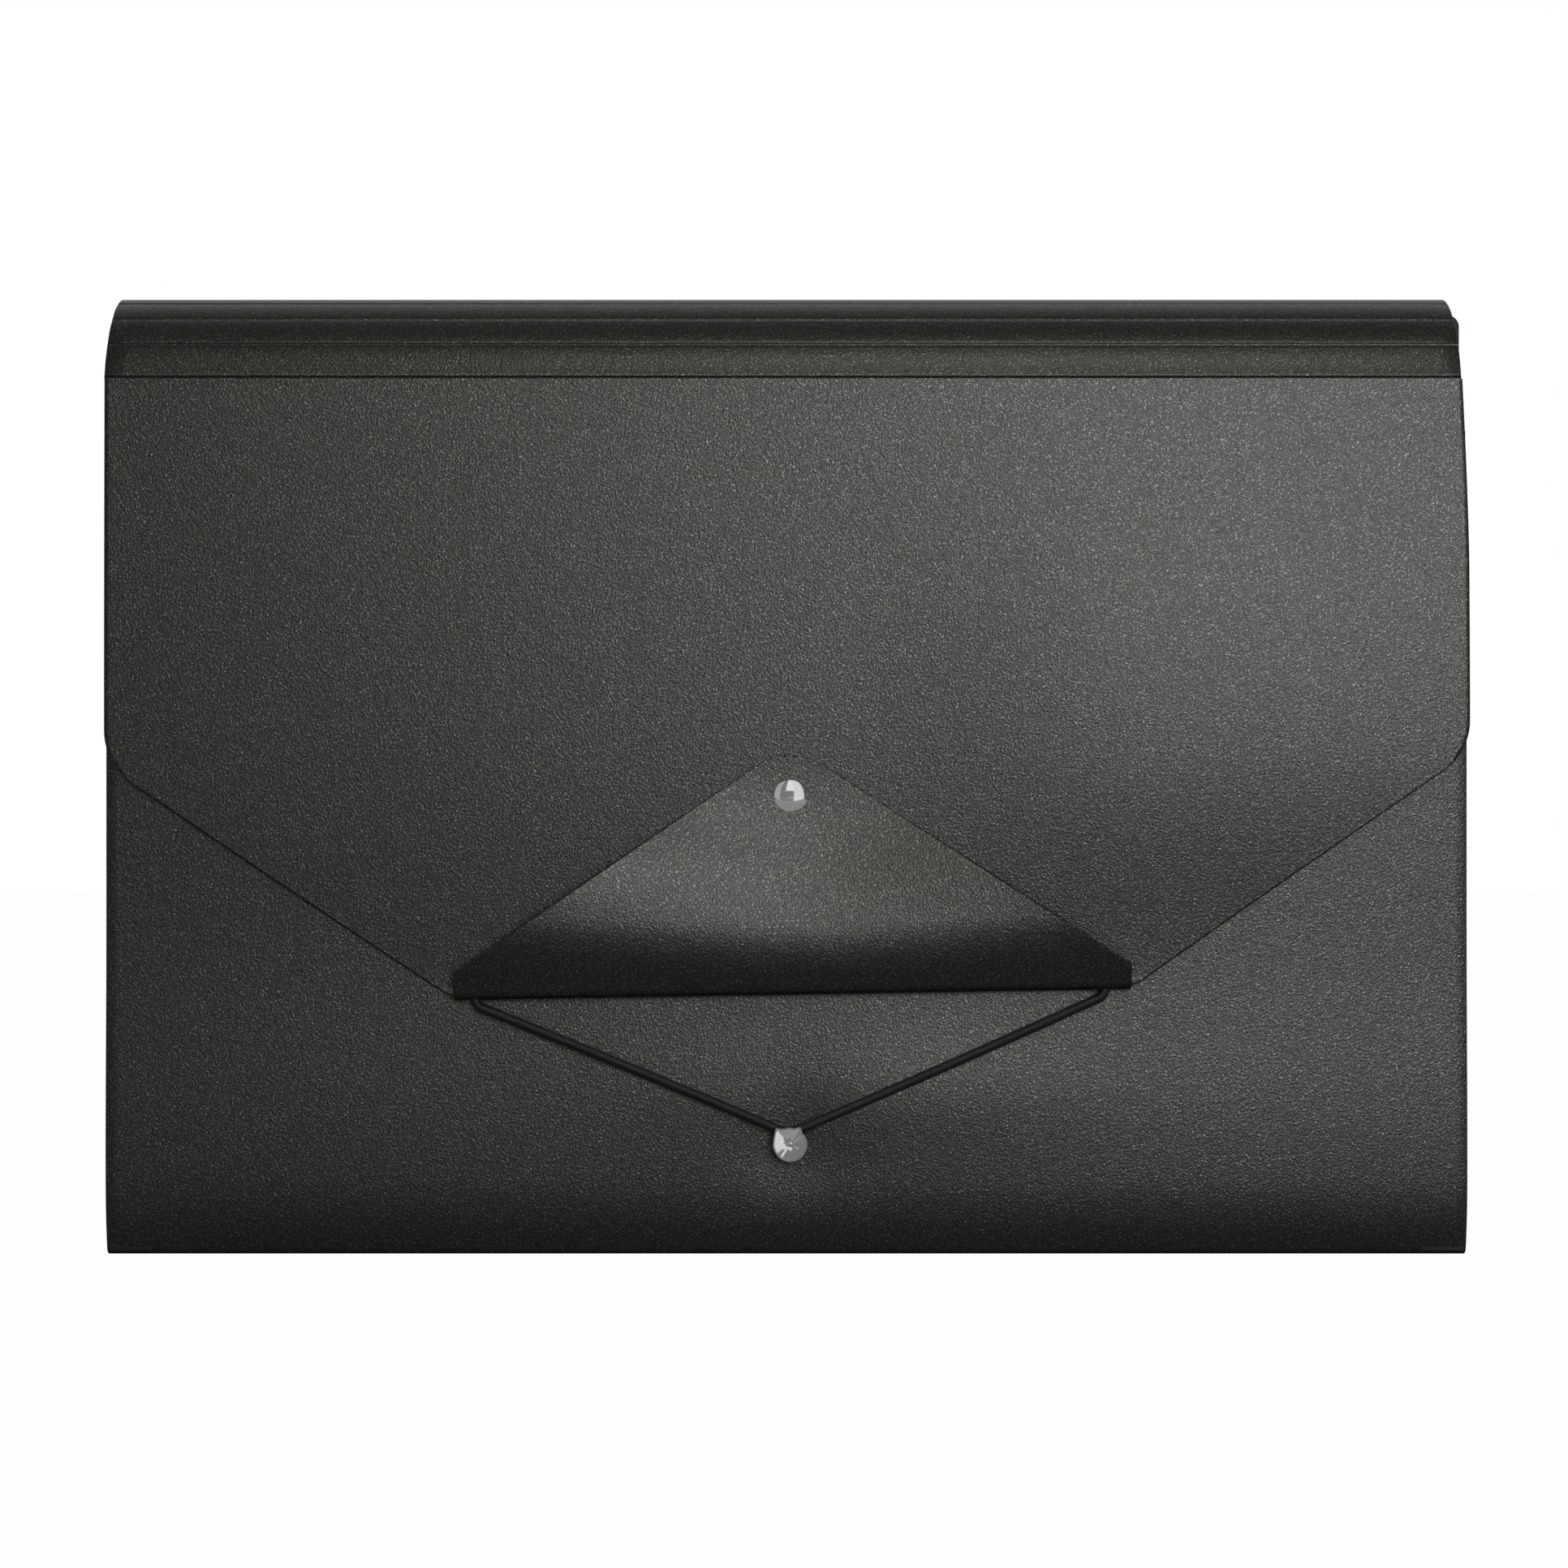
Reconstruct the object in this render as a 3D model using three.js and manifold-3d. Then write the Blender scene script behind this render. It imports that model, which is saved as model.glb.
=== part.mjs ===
// Expanding file for landscape A4 papers, standing upright on its bottom spine with its flap closed.
// X runs across the width, Y from front to back and Z up. The flap lies over the front, on the -Y side.
// The origin is the middle of the underside of the bottom spine. Lengths are in millimetres.

import * as THREE from "three";
import { mergeVertices } from "three/addons/utils/BufferGeometryUtils.js";
import Module from "manifold-3d";

const wasm = await Module();
wasm.setup();

// Cover sheet, which wraps from the front cover under the file, up the back and over to the flap
const fileWidth = 330;
const coverSheet = 0.8;
const flapTopHeight = 212.8;
const frontCoverDrop = 12.8;
const coverCornerRadius = 10;
const spineEndRelief = 0.5;
const creaseRelief = 0.35;
const baseCreaseRelief = 0.5;
// Degrees from upright of the five strips of the top spine, from the flap to the back cover
const stripLeans = [27, 44, 59, 77, 116.7];

// Flap, whose point is folded up over its front and riveted there
const foldHeight = 63.4;
const foldWidth = 164.6;
const shoulderHeight = 120.6;
const shoulderRadius = 15;
const foldCornerRadius = 1.5;
const tipSideHeight = 6.5;
const tipSlope = 33.5;
const tipRadius = 15;
const foldLean = 15;
const bulgeRadius = 32;
const returnLean = 10;
const returnRadius = 20;

// Pleated insert
const pocketCount = 7;
const pocketClear = 4.2;
const dividerSheet = 0.5;
const dividerBottom = 6;
const dividerCornerRadius = 6;
const film = 0.3;
const sidePleatDepth = 12;
const bottomPleatDepth = 3;
const innerFoldRadius = 0.45;
const flangeLength = 10;
const tabWidth = 52;
const tabHeight = 12;
const tabHeadroom = 1;
const firstTabInset = 6;
const lastTabOverhang = 4.2;
const tabCornerRadius = 3;
const labelWidth = 42;
const labelHeight = 8;
const labelSheet = 0.2;

// Closure hardware and its elastic cord
const cordDiameter = 2.3;
const cordBendRadius = 2.6;
const cordExitInset = 6.2;
const cordSides = 8;
const crimpWall = 0.4;
const crimpLength = 8;
const studHeight = 27;
const studHeadDiameter = 8.4;
const studPostDiameter = 2;
const studHeadThickness = 0.5;
const studDish = 0.8;
const rivetAboveFold = 48;
const rivetCapDiameter = 8.2;
const rivetCapRise = 1.3;
const rivetPostDiameter = 2.6;
const washerDiameter = 8;
const washerThickness = 0.3;

// Running gap between neighbouring pieces, and the finest angle step on round stretches
const clearance = 0.3;
const roundStep = 15;

const radians = THREE.MathUtils.degToRad;

// Stack of sheets from the flap's front face to the back cover's rear face
const washerRoom = washerThickness + 2 * clearance;
const flangeRoom = film + clearance;
const dividerCount = pocketCount - 1;
const pocketPitch = pocketClear + dividerSheet;
const insertDepth = pocketCount * pocketClear + dividerCount * dividerSheet;
const fileDepth = 3 * coverSheet + washerRoom + 2 * flangeRoom + insertDepth;
const flapFace = -fileDepth / 2;
const flapMiddle = flapFace + coverSheet / 2;
const frontCoverFace = flapFace + coverSheet + washerRoom;
const insertFront = frontCoverFace + coverSheet + flangeRoom;
const frontCoverHeight = flapTopHeight - frontCoverDrop;
const backCoverInside = fileDepth / 2 - coverSheet;

// Folds of the insert's film, which run round each divider's edge
const outerFoldRadius = dividerSheet / 2 + clearance + film / 2;
const dividerHalfWidth = fileWidth / 2 - outerFoldRadius - film / 2;
const outerFoldStep = 2 * roundStep;
const innerFoldStep = 3 * roundStep;

// Flap, fold and cord
const flapDrop = flapTopHeight - foldHeight;
const cordExit = foldWidth / 2 - cordExitInset;
const cordRadius = cordDiameter / 2;
const crimpInside = cordRadius + clearance;
const crimpOutside = crimpInside + crimpWall;
const foldInside = crimpOutside + clearance;
const foldMiddle = foldInside + coverSheet / 2;
const foldOutside = foldInside + coverSheet;
const cordDepth = flapMiddle - foldMiddle;
const cordHeight = foldHeight + foldOutside;
const wrapRadius = studPostDiameter / 2 + clearance + cordRadius;
const wrapPitch = cordDiameter + clearance;
const studReach = 3 * clearance + 2 * cordDiameter;

// Bars and blocks that cut through one sheet, and through the flap with its bulging tip
const throughSheet = 4 * coverSheet;
const throughFlap = 2 * bulgeRadius;
const easyStep = roundStep / 3;

const coverFinish = new THREE.MeshStandardMaterial({ color: 0x3b3c3a, roughness: 0.45, metalness: 0.35 });
const insertFinish = new THREE.MeshStandardMaterial({ color: 0x303130, roughness: 0.5, metalness: 0.1 });
const filmFinish = new THREE.MeshStandardMaterial({ color: 0x2a2b2a, roughness: 0.55, metalness: 0.05 });
const labelFinish = new THREE.MeshStandardMaterial({ color: 0xf0eee8, roughness: 0.8, metalness: 0 });
const cordFinish = new THREE.MeshStandardMaterial({ color: 0x121213, roughness: 0.8, metalness: 0 });
const nickelFinish = new THREE.MeshStandardMaterial({ color: 0xc9c8c2, roughness: 0.15, metalness: 1 });

// A path walked across a plane in straight runs and round bends, headings in degrees counter-clockwise.
class Walk {
  constructor(x, y, heading) {
    this.point = new THREE.Vector2(x, y);
    this.heading = radians(heading);
    this.points = [this.point.clone()];
  }

  ahead(length) {
    this.point.x += length * Math.cos(this.heading);
    this.point.y += length * Math.sin(this.heading);
    this.points.push(this.point.clone());
  }

  // Turns left for positive degrees and right for negative ones.
  bend(radius, degrees, step = roundStep) {
    const side = this.heading + Math.sign(degrees) * Math.PI / 2;
    const centre = new THREE.Vector2(Math.cos(side), Math.sin(side)).multiplyScalar(radius).add(this.point);
    const steps = Math.max(2, Math.ceil(Math.abs(degrees) / step));
    for (let i = 0; i < steps; i += 1) {
      this.point.rotateAround(centre, radians(degrees) / steps);
      this.points.push(this.point.clone());
    }
    this.heading += radians(degrees);
  }
}

// Outline of a sheet of even thickness whose middle follows the points.
function ribbon(points, thickness) {
  const left = [];
  const right = [];
  points.forEach((point, i) => {
    const before = points[Math.max(i - 1, 0)];
    const after = points[Math.min(i + 1, points.length - 1)];
    const into = (i > 0 ? point.clone().sub(before) : after.clone().sub(point)).normalize();
    const out = (after !== point ? after.clone().sub(point) : into.clone()).normalize();
    const along = into.clone().add(out).normalize();
    const reach = thickness / 2 / along.dot(into);
    const across = new THREE.Vector2(-along.y, along.x).multiplyScalar(reach);
    left.push(point.clone().add(across));
    right.unshift(point.clone().sub(across));
  });
  return new THREE.Shape([...left, ...right]);
}

// Points of an outline through the corners, [x, y, radius] each, rounded where the radius isn't zero.
function roundedOutline(corners) {
  const points = [];
  corners.forEach(([x, y, radius], i) => {
    const corner = new THREE.Vector2(x, y);
    if (radius === 0) {
      points.push(corner);
      return;
    }
    const before = new THREE.Vector2(...corners.at(i - 1)).sub(corner).normalize();
    const after = new THREE.Vector2(...corners[(i + 1) % corners.length]).sub(corner).normalize();
    const half = Math.acos(before.dot(after)) / 2;
    const centre = before.clone().add(after).normalize().multiplyScalar(radius / Math.sin(half)).add(corner);
    const spoke = before.clone().multiplyScalar(radius / Math.tan(half)).add(corner);
    const turn = Math.sign(before.cross(after)) * (2 * half - Math.PI);
    const steps = Math.ceil(Math.abs(turn) / radians(roundStep));
    points.push(spoke.clone());
    for (let step = 0; step < steps; step += 1) {
      spoke.rotateAround(centre, turn / steps);
      points.push(spoke.clone());
    }
  });
  return points;
}

// Plate that stands in the XZ plane, with its front face at y = 0 and its rear face at y = thickness.
function standingPlate(shape, thickness) {
  const geometry = new THREE.ExtrudeGeometry(shape, { depth: thickness, bevelEnabled: false });
  return geometry.rotateX(Math.PI / 2).translate(0, thickness, 0);
}

// Sheet panel with square lower corners and round upper ones.
function panelShape(left, right, bottom, top, radius) {
  return new THREE.Shape(roundedOutline([
    [left, bottom, 0],
    [right, bottom, 0],
    [right, top, radius],
    [left, top, radius],
  ]));
}

function toSolid(geometry) {
  const bare = geometry.clone();
  bare.deleteAttribute("normal");
  bare.deleteAttribute("uv");
  const merged = mergeVertices(bare, 1e-4);
  return new wasm.Manifold(new wasm.Mesh({
    numProp: 3,
    vertProperties: merged.attributes.position.array,
    triVerts: merged.index.array,
  }));
}

function toGeometry(solid) {
  const mesh = solid.getMesh();
  const geometry = new THREE.BufferGeometry();
  geometry.setAttribute("position", new THREE.BufferAttribute(mesh.vertProperties, 3));
  geometry.setIndex(new THREE.BufferAttribute(mesh.triVerts, 1));
  geometry.computeVertexNormals();
  return geometry;
}

// Round bar along Y about the origin, which cuts a hole through a sheet.
function drill(radius, length) {
  return new THREE.CylinderGeometry(radius, radius, length, 360 / roundStep);
}

function named(name, geometry, finish) {
  const mesh = new THREE.Mesh(geometry, finish);
  mesh.name = name;
  return mesh;
}

// Crease lines of the top spine as [y, z] points, from the flap's top edge to the back cover's.
const leanReach = stripLeans.reduce((sum, lean) => sum + Math.sin(radians(lean)), 0);
const stripWidth = (fileDepth - coverSheet) / leanReach;
const creases = [new THREE.Vector2(flapMiddle, flapTopHeight)];
for (const lean of stripLeans) {
  const run = new THREE.Vector2(Math.sin(radians(lean)), Math.cos(radians(lean)));
  creases.push(run.multiplyScalar(stripWidth).add(creases.at(-1)));
}
const backCoverTop = creases.at(-1).y;

// Height of the underside of the top spine over a given depth in the file.
function roofHeight(y) {
  const after = Math.max(1, creases.findIndex((crease) => crease.x >= y));
  const [from, to] = [creases[after - 1], creases[after]];
  const middle = THREE.MathUtils.mapLinear(y, from.x, to.x, from.y, to.y);
  return middle - coverSheet / 2 / Math.sin(radians(stripLeans[after - 1]));
}

function makeFrontCover() {
  const half = fileWidth / 2;
  const bottom = coverSheet / 2 + baseCreaseRelief;
  const shape = panelShape(-half, half, bottom, frontCoverHeight, coverCornerRadius);
  const holeRadius = studPostDiameter / 2 + clearance;
  const hole = drill(holeRadius, throughSheet).translate(0, 0, studHeight);
  const sheet = toSolid(standingPlate(shape, coverSheet)).subtract(toSolid(hole));
  const cover = named("front_cover", toGeometry(sheet), coverFinish);
  cover.position.y = frontCoverFace;
  return cover;
}

function makeBackCover() {
  const bottom = coverSheet / 2 + baseCreaseRelief;
  const height = backCoverTop - creaseRelief - bottom;
  const cover = named("back_cover", new THREE.BoxGeometry(fileWidth, coverSheet, height), coverFinish);
  cover.position.set(0, backCoverInside + coverSheet / 2, bottom + height / 2);
  return cover;
}

function makeBottomSpine() {
  const front = frontCoverFace + coverSheet / 2 + baseCreaseRelief;
  const rear = backCoverInside + coverSheet / 2 - baseCreaseRelief;
  const plate = new THREE.BoxGeometry(fileWidth, rear - front, coverSheet);
  const spine = named("bottom_spine", plate, coverFinish);
  spine.position.set(0, (front + rear) / 2, coverSheet / 2);
  return spine;
}

// The five strips between the creases of the top spine, numbered from the back cover.
function makeSpineStrips() {
  const width = fileWidth - 2 * spineEndRelief;
  return stripLeans.map((lean, i) => {
    const plate = new THREE.BoxGeometry(width, coverSheet, stripWidth - 2 * creaseRelief);
    const strip = named(`spine_strip_${stripLeans.length - i}`, plate, coverFinish);
    const middle = creases[i].clone().add(creases[i + 1]).multiplyScalar(0.5);
    strip.position.set(0, middle.x, middle.y);
    strip.rotation.x = -radians(lean);
    return strip;
  });
}

// Side profile of the flap in its own frame, whose origin is the crease at its top edge.
function flapProfile() {
  const walk = new Walk(0, -creaseRelief, -90);
  walk.ahead(flapDrop - creaseRelief - foldOutside);
  walk.bend(foldMiddle, foldLean - 180);
  walk.bend(bulgeRadius, -foldLean - returnLean, easyStep);
  const seated = coverSheet + clearance;
  const easing = returnRadius * (1 - Math.cos(radians(returnLean)));
  walk.ahead((-walk.point.x - seated - easing) / Math.sin(radians(returnLean)));
  walk.bend(returnRadius, returnLean, easyStep);
  walk.ahead(-flapDrop + foldWidth / 2 - walk.point.y);
  return ribbon(walk.points, coverSheet);
}

function flapOutline() {
  const half = fileWidth / 2;
  const fold = foldWidth / 2;
  const shoulder = shoulderHeight - flapTopHeight;
  const below = -flapDrop - foldOutside;
  return new THREE.Shape(roundedOutline([
    [-half, coverSheet, 0],
    [-half, shoulder, shoulderRadius],
    [-fold, -flapDrop, foldCornerRadius],
    [-fold, below, 0],
    [fold, below, 0],
    [fold, -flapDrop, foldCornerRadius],
    [half, shoulder, shoulderRadius],
    [half, coverSheet, 0],
  ]));
}

// Room around the folded tip, in front of the flap's own panel.
function aroundTip() {
  const fold = foldWidth / 2;
  const below = -flapDrop - foldOutside;
  const side = -flapDrop + tipSideHeight;
  const apex = side + fold * Math.tan(radians(tipSlope));
  const around = new THREE.Shape(roundedOutline([
    [-fileWidth, below - foldOutside, 0],
    [fileWidth, below - foldOutside, 0],
    [fileWidth, flapDrop, 0],
    [-fileWidth, flapDrop, 0],
  ]));
  around.holes.push(new THREE.Path(roundedOutline([
    [-fold, below, 0],
    [fold, below, 0],
    [fold, side, foldCornerRadius],
    [0, apex, tipRadius],
    [-fold, side, foldCornerRadius],
  ])));
  const rear = -(coverSheet + clearance) / 2;
  return toSolid(standingPlate(around, throughFlap).translate(0, rear - throughFlap, 0));
}

function makeFlap() {
  const across = new THREE.Matrix4().makeBasis(
    new THREE.Vector3(0, 1, 0),
    new THREE.Vector3(0, 0, 1),
    new THREE.Vector3(1, 0, 0),
  );
  const bent = new THREE.ExtrudeGeometry(flapProfile(), { depth: fileWidth, bevelEnabled: false });
  const sheet = toSolid(bent.applyMatrix4(across).translate(-fileWidth / 2, 0, 0));
  const outline = toSolid(standingPlate(flapOutline(), throughFlap).translate(0, -throughFlap / 2, 0));
  const rivetHole = drill(rivetPostDiameter / 2 + clearance, throughFlap);
  rivetHole.translate(0, 0, -flapDrop + rivetAboveFold);
  let flap = sheet.intersect(outline).subtract(aroundTip()).subtract(toSolid(rivetHole));
  for (const side of [-1, 1]) {
    const exit = drill(cordRadius + clearance, throughSheet).rotateX(Math.PI / 2);
    exit.translate(side * cordExit, -foldMiddle, -flapDrop);
    flap = flap.subtract(toSolid(exit));
  }
  const mesh = named("flap", toGeometry(flap), coverFinish);
  mesh.position.set(0, flapMiddle, flapTopHeight);
  return mesh;
}

// Slope of the film's runs, in degrees, that brings it from one outer fold to the next over the given room.
function pleatSlope(room, depth) {
  const folds = 2 * (outerFoldRadius + innerFoldRadius);
  const slope = Math.asin(room / Math.hypot(2 * depth, folds)) - Math.atan2(folds, 2 * depth);
  return THREE.MathUtils.radToDeg(slope);
}

// Zigzag of a film strip across all the pockets, X pointing out of the insert and Y from front to back.
// Its outer folds run round the dividers' edges, and its ends lie flat inside the two covers.
function pleatWalk(depth) {
  const endRoom = pocketPitch - dividerSheet / 2 + film / 2 - outerFoldRadius;
  const walk = new Walk(-flangeLength, -(insertDepth + film) / 2, 0);
  walk.ahead(flangeLength);
  let slope = 0;
  for (let pocket = 1; pocket <= pocketCount; pocket += 1) {
    const atEnd = pocket === 1 || pocket === pocketCount;
    const next = pleatSlope(atEnd ? endRoom : pocketPitch, depth);
    walk.bend(outerFoldRadius, 180 - slope - next, outerFoldStep);
    walk.ahead(depth);
    walk.bend(innerFoldRadius, 2 * next - 180, innerFoldStep);
    walk.ahead(depth);
    slope = next;
  }
  walk.bend(outerFoldRadius, 180 - slope, outerFoldStep);
  walk.ahead(flangeLength);
  return walk;
}

function pleatedFilm(name, depth, length) {
  const shape = ribbon(pleatWalk(depth).points, film);
  const geometry = new THREE.ExtrudeGeometry(shape, { depth: length, bevelEnabled: false });
  return named(name, geometry, filmFinish);
}

function makeGussets() {
  const middle = insertFront + insertDepth / 2;
  const low = coverSheet + clearance;
  const right = pleatedFilm("gusset_right", sidePleatDepth, frontCoverHeight - low);
  right.position.set(dividerHalfWidth, middle, low);
  const left = pleatedFilm("gusset_left", sidePleatDepth, frontCoverHeight - low);
  left.position.set(-dividerHalfWidth, middle, low);
  left.rotation.z = Math.PI;
  const reach = Math.min(...pleatWalk(sidePleatDepth).points.map((point) => point.x));
  const half = dividerHalfWidth + reach - film / 2 - clearance;
  const bottom = pleatedFilm("gusset_bottom", bottomPleatDepth, 2 * half);
  bottom.position.set(-half, middle, dividerBottom);
  bottom.rotation.y = Math.PI / 2;
  return [left, right, bottom];
}

// Divider sheets with an index tab each, stepped from left to right and up to the top spine.
function makeDividers() {
  const firstLeft = -dividerHalfWidth + firstTabInset;
  const lastLeft = dividerHalfWidth + lastTabOverhang - tabWidth;
  const pieces = [];
  for (let i = 0; i < dividerCount; i += 1) {
    const front = insertFront + pocketClear + i * pocketPitch;
    const top = Math.min(roofHeight(front), roofHeight(front + dividerSheet)) - tabHeadroom;
    const left = THREE.MathUtils.lerp(firstLeft, lastLeft, dividerCount > 1 ? i / (dividerCount - 1) : 0);
    const bodyTop = top - tabHeight;
    const body = panelShape(-dividerHalfWidth, dividerHalfWidth, dividerBottom, bodyTop, dividerCornerRadius);
    const tab = panelShape(left, left + tabWidth, bodyTop - tabHeight, top, tabCornerRadius);
    const sheet = toSolid(standingPlate(body, dividerSheet)).add(toSolid(standingPlate(tab, dividerSheet)));
    const divider = named(`divider_${i + 1}`, toGeometry(sheet), insertFinish);
    divider.position.y = front;
    const label = named(
      `tab_label_${i + 1}`,
      new THREE.BoxGeometry(labelWidth, labelSheet, labelHeight),
      labelFinish,
    );
    label.position.set(left + tabWidth / 2, front - labelSheet / 2, top - tabHeight / 2);
    pieces.push(divider, label);
  }
  return pieces;
}

// Swept path with one ring at each of the given stations.
class StationRun extends THREE.Curve {
  constructor(stations) {
    super();
    this.stations = stations;
  }

  station(share) {
    return Math.round(share * (this.stations.length - 1));
  }

  getPointAt(share) {
    return this.stations[this.station(share)].clone();
  }

  getTangentAt(share) {
    const here = this.station(share);
    const point = this.stations[here];
    const before = this.stations[here - 1] ?? point.clone().multiplyScalar(2).sub(this.stations[here + 1]);
    const after = this.stations[here + 1] ?? point.clone().multiplyScalar(2).sub(before);
    const into = point.clone().sub(before).normalize();
    return after.clone().sub(point).normalize().add(into).normalize();
  }
}

// The cord runs along the fold, out through a hole at each end, down to the stud and once round its post,
// so that its two legs cross above the post. Its ends meet in the crimp, in the middle of the fold.
function cordStations() {
  const turn = new THREE.Vector2(cordExit - cordBendRadius, cordHeight - cordBendRadius);
  const apart = Math.hypot(turn.x, turn.y - studHeight);
  const slope = THREE.MathUtils.radToDeg(
    Math.atan2(turn.y - studHeight, turn.x) - Math.asin((cordBendRadius + wrapRadius) / apart),
  );
  const leg = Math.sqrt(apart ** 2 - (cordBendRadius + wrapRadius) ** 2);
  const walk = new Walk(clearance / 2, cordHeight, 0);
  walk.ahead(turn.x - clearance / 2);
  walk.bend(cordBendRadius, slope - 180);
  const rightLeg = walk.points.length;
  walk.ahead(leg);
  const wrap = walk.points.length - 1;
  walk.bend(wrapRadius, 360 - 2 * slope);
  const leftLeg = walk.points.length;
  walk.ahead(leg);
  walk.bend(cordBendRadius, slope - 180);
  walk.ahead(turn.x - clearance / 2);
  const wrapDepth = frontCoverFace - clearance - cordRadius;
  return walk.points.map((point, i) => {
    let depth = cordDepth;
    if (i >= rightLeg && i < leftLeg) {
      depth = THREE.MathUtils.mapLinear(i, wrap, leftLeg - 1, wrapDepth, wrapDepth - wrapPitch);
    }
    return new THREE.Vector3(point.x, depth, point.y);
  });
}

function makeCord() {
  const stations = cordStations();
  const section = new THREE.Shape(new THREE.EllipseCurve(0, 0, cordRadius, cordRadius).getPoints(cordSides));
  const geometry = new THREE.ExtrudeGeometry(section, {
    steps: stations.length - 1,
    extrudePath: new StationRun(stations),
  });
  return named("elastic_cord", geometry, cordFinish);
}

// Ring about Y between two radii, from y = 0 to y = length.
function ring(inside, outside, length) {
  const profile = [
    [inside, 0],
    [outside, 0],
    [outside, length],
    [inside, length],
    [inside, 0],
  ];
  return new THREE.LatheGeometry(profile.map(([x, y]) => new THREE.Vector2(x, y)), 360 / roundStep);
}

function makeCrimp() {
  const crimp = named("cord_crimp", ring(crimpInside, crimpOutside, crimpLength), nickelFinish);
  crimp.rotation.z = -Math.PI / 2;
  crimp.position.set(-crimpLength / 2, cordDepth, cordHeight);
  return crimp;
}

// Turned piece about the file's front-to-back axis, its profile measured outwards from y = 0.
function turnedOutwards(name, profile) {
  const points = profile.map(([x, y]) => new THREE.Vector2(x, y));
  const mesh = named(name, new THREE.LatheGeometry(points, 360 / roundStep), nickelFinish);
  mesh.rotation.x = Math.PI;
  return mesh;
}

// Stud whose post passes through the front cover and whose dished head stands clear of the wrapped cord.
function makeStud() {
  const post = studPostDiameter / 2;
  const head = studHeadDiameter / 2;
  const rim = studReach + studDish;
  const stud = turnedOutwards("closure_stud", [
    [0, -coverSheet - clearance - washerThickness],
    [post, -coverSheet - clearance - washerThickness],
    [post, studReach],
    [head, rim],
    [head, rim + studHeadThickness],
    [head - studHeadThickness, rim + studHeadThickness],
    [0, studReach + studHeadThickness],
  ]);
  stud.position.set(0, frontCoverFace, studHeight);
  const washer = named(
    "stud_washer",
    ring(post + clearance, washerDiameter / 2, washerThickness),
    nickelFinish,
  );
  washer.position.set(0, frontCoverFace + coverSheet + clearance, studHeight);
  return [stud, washer];
}

// Rivet that holds the folded tip against the flap, its cap in front and its washer behind the flap.
function makeRivet() {
  const post = rivetPostDiameter / 2;
  const cap = rivetCapDiameter / 2;
  const behind = 2 * coverSheet + 2 * clearance + washerThickness;
  const dome = [];
  const domeSteps = 90 / roundStep;
  for (let i = 0; i <= domeSteps; i += 1) {
    const angle = radians(i * roundStep);
    dome.push([cap * Math.cos(angle), 2 * clearance + rivetCapRise * Math.sin(angle)]);
  }
  dome.at(-1)[0] = 0;
  const rivet = turnedOutwards("tip_rivet", [
    [0, -behind],
    [post, -behind],
    [post, clearance],
    [cap, clearance],
    ...dome,
  ]);
  const height = foldHeight + rivetAboveFold;
  const tipFace = flapFace - coverSheet - clearance;
  rivet.position.set(0, tipFace, height);
  const washer = named(
    "rivet_washer",
    ring(post + clearance, washerDiameter / 2, washerThickness),
    nickelFinish,
  );
  washer.position.set(0, flapFace + coverSheet + clearance, height);
  return [rivet, washer];
}

const file = new THREE.Group();
file.add(makeFrontCover(), makeBottomSpine(), makeBackCover(), ...makeSpineStrips(), makeFlap());
file.add(...makeGussets(), ...makeDividers());
file.add(makeCord(), makeCrimp(), ...makeStud(), ...makeRivet());

export default file;
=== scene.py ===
import math

import bmesh
import bpy
from mathutils import Matrix, Vector


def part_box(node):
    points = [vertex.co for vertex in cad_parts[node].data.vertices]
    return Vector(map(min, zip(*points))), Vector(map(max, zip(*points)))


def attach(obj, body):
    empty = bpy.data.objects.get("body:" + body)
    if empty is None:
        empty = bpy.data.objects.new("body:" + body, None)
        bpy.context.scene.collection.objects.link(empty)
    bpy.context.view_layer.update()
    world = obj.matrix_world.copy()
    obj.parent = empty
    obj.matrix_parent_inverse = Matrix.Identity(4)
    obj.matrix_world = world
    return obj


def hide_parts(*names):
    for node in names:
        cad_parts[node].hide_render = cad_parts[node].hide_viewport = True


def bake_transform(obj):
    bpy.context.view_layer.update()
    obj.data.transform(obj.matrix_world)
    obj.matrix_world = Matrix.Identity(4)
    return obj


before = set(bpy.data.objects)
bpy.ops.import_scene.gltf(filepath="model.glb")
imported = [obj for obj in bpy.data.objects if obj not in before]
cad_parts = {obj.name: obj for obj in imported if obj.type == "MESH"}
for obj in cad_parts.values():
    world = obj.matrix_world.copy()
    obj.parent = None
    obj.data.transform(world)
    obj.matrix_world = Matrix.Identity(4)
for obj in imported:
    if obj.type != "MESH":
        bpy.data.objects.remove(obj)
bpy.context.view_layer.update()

# All sizes are in millimetres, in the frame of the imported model, until a mesh is made
MM = 0.001
HALF_WIDTH = 165.0
SHEET = 0.8
CREASE_SHEET = 0.45
CREASE_RELIEF = 0.35
SPINE_HALF_WIDTH = 164.3
SPINE_SHIFT = -0.9
STRIP_CROWN = 0.4
CREASE_RIDGE = 0.16
RIDGE_SHARE = 0.15
EDGE_ROUND = 0.14
WELD = 0.002
SHARP_ANGLE = 32

# Cover sheet: middle planes, heights and the folded top spine from the flap to the back cover
FLAP_MIDDLE = -18.05
FRONT_MIDDLE = -16.35
BACK_MIDDLE = 18.05
FLAP_TOP = 212.8
FRONT_TOP = 200.0
FRONT_FOOT = 1.1
BACK_TOP = 230.5167
BACK_FOOT = 0.9
COVER_CORNER = 10.0
STRIP_LEANS = [27, 44, 59, 77, 116.7]
STRIP_WIDTH = 9.3196

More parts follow.
